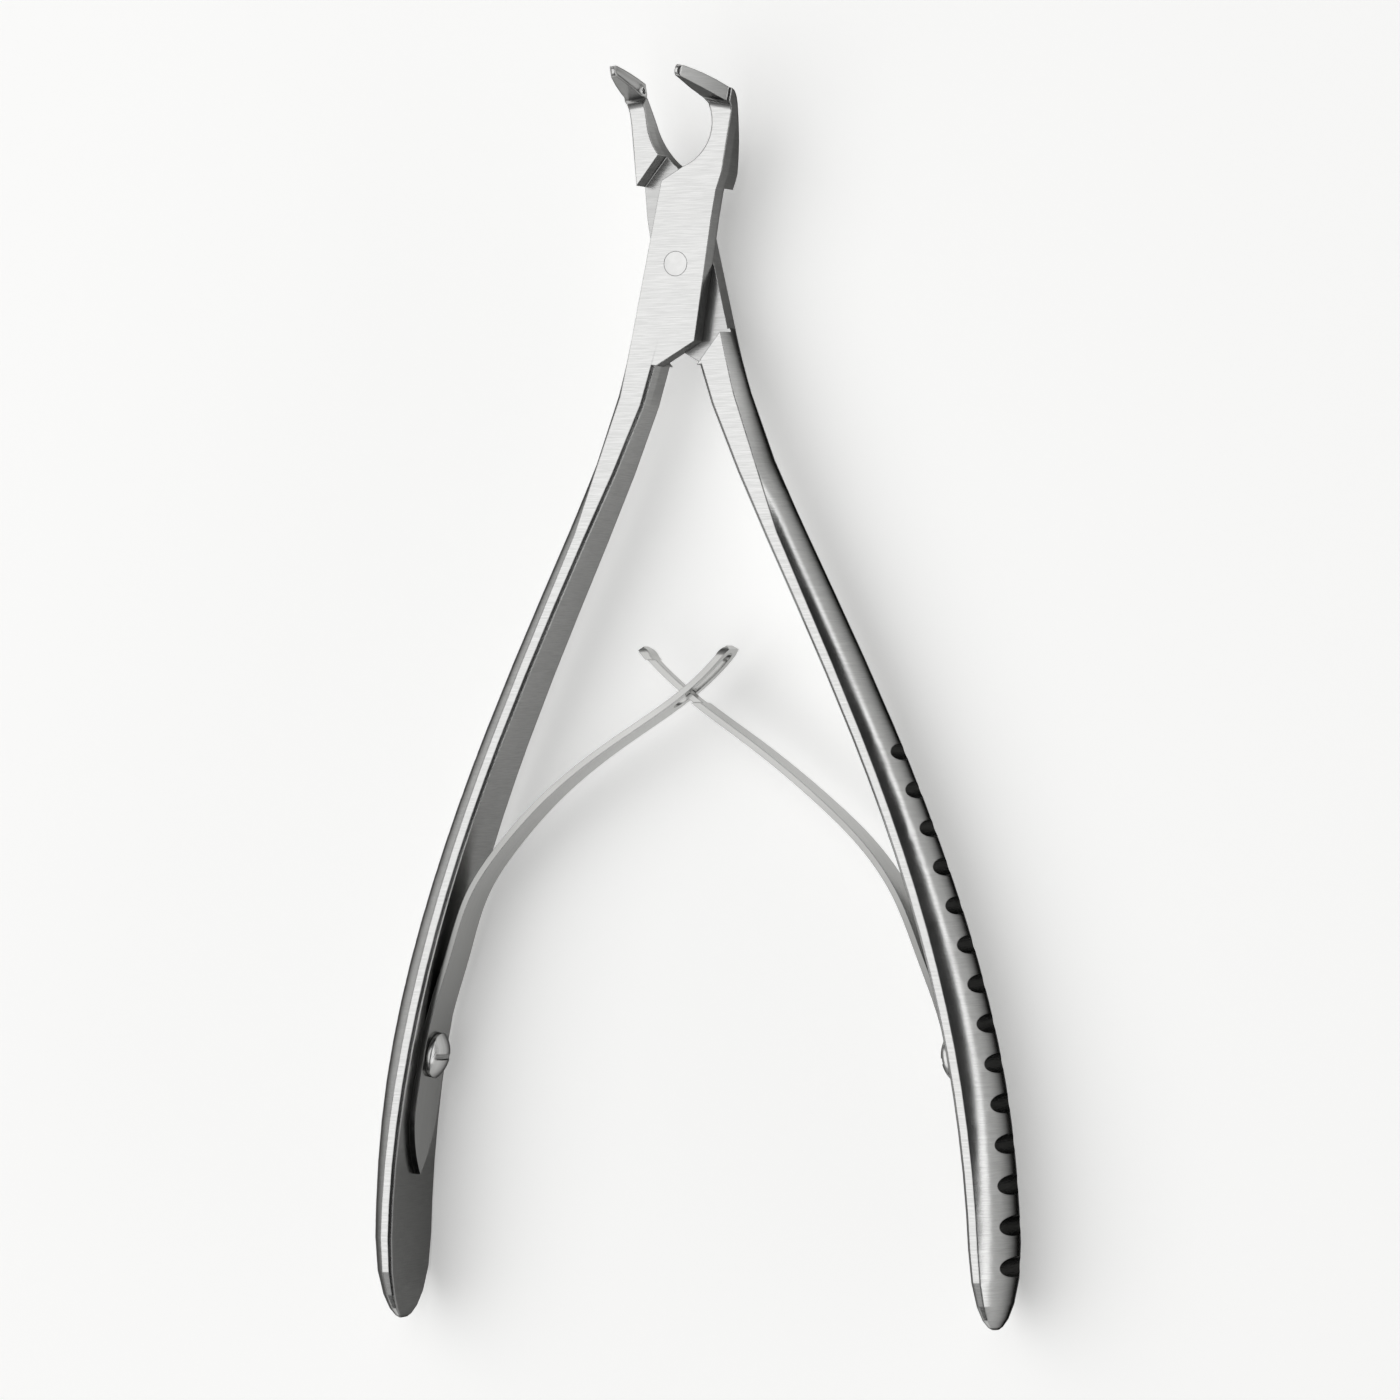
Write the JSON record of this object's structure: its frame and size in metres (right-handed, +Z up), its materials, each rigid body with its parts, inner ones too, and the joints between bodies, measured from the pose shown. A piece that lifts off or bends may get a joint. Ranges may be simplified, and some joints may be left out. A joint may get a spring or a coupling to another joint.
{
  "type": "bone rongeur",
  "caption": "Sprung bone rongeur with forward-bent cup jaws, a lap joint, crossed leaf springs and scalloped handles.",
  "frame": {"origin": "centre of the two levers' footprint as the tool lies on its back with the jaws open, level with the handles' back edges", "axes": "+Y along the tool from the handles to the jaws, +Z up out of its front, the way the beaks point, +X to the right seen from the front"},
  "size_m": [0.0754, 0.138, 0.0179],
  "materials": {
    "satin_steel": "satin-brushed stainless steel",
    "spring_steel": "polished stainless spring steel"
  },
  "bodies": {
    "front_lever": {"front_lever": "satin_steel", "pivot_screw": "satin_steel", "left_leaf_spring": "spring_steel", "left_spring_screw": "satin_steel"},
    "back_lever": {"back_lever": "satin_steel", "right_leaf_spring": "spring_steel", "right_spring_screw": "satin_steel"}
  },
  "joints": [
    {"name": "pivot", "type": "hinge", "parent": "front_lever", "child": "back_lever", "pos_m": [0, 0.04773, 0.00585], "axis": [0, 0, -1], "range_deg": [0, 19.1], "stiffness_Nm_per_rad": 1.6, "springref_deg": -2.86, "deforming": ["left_leaf_spring", "right_leaf_spring"]}
  ]
}
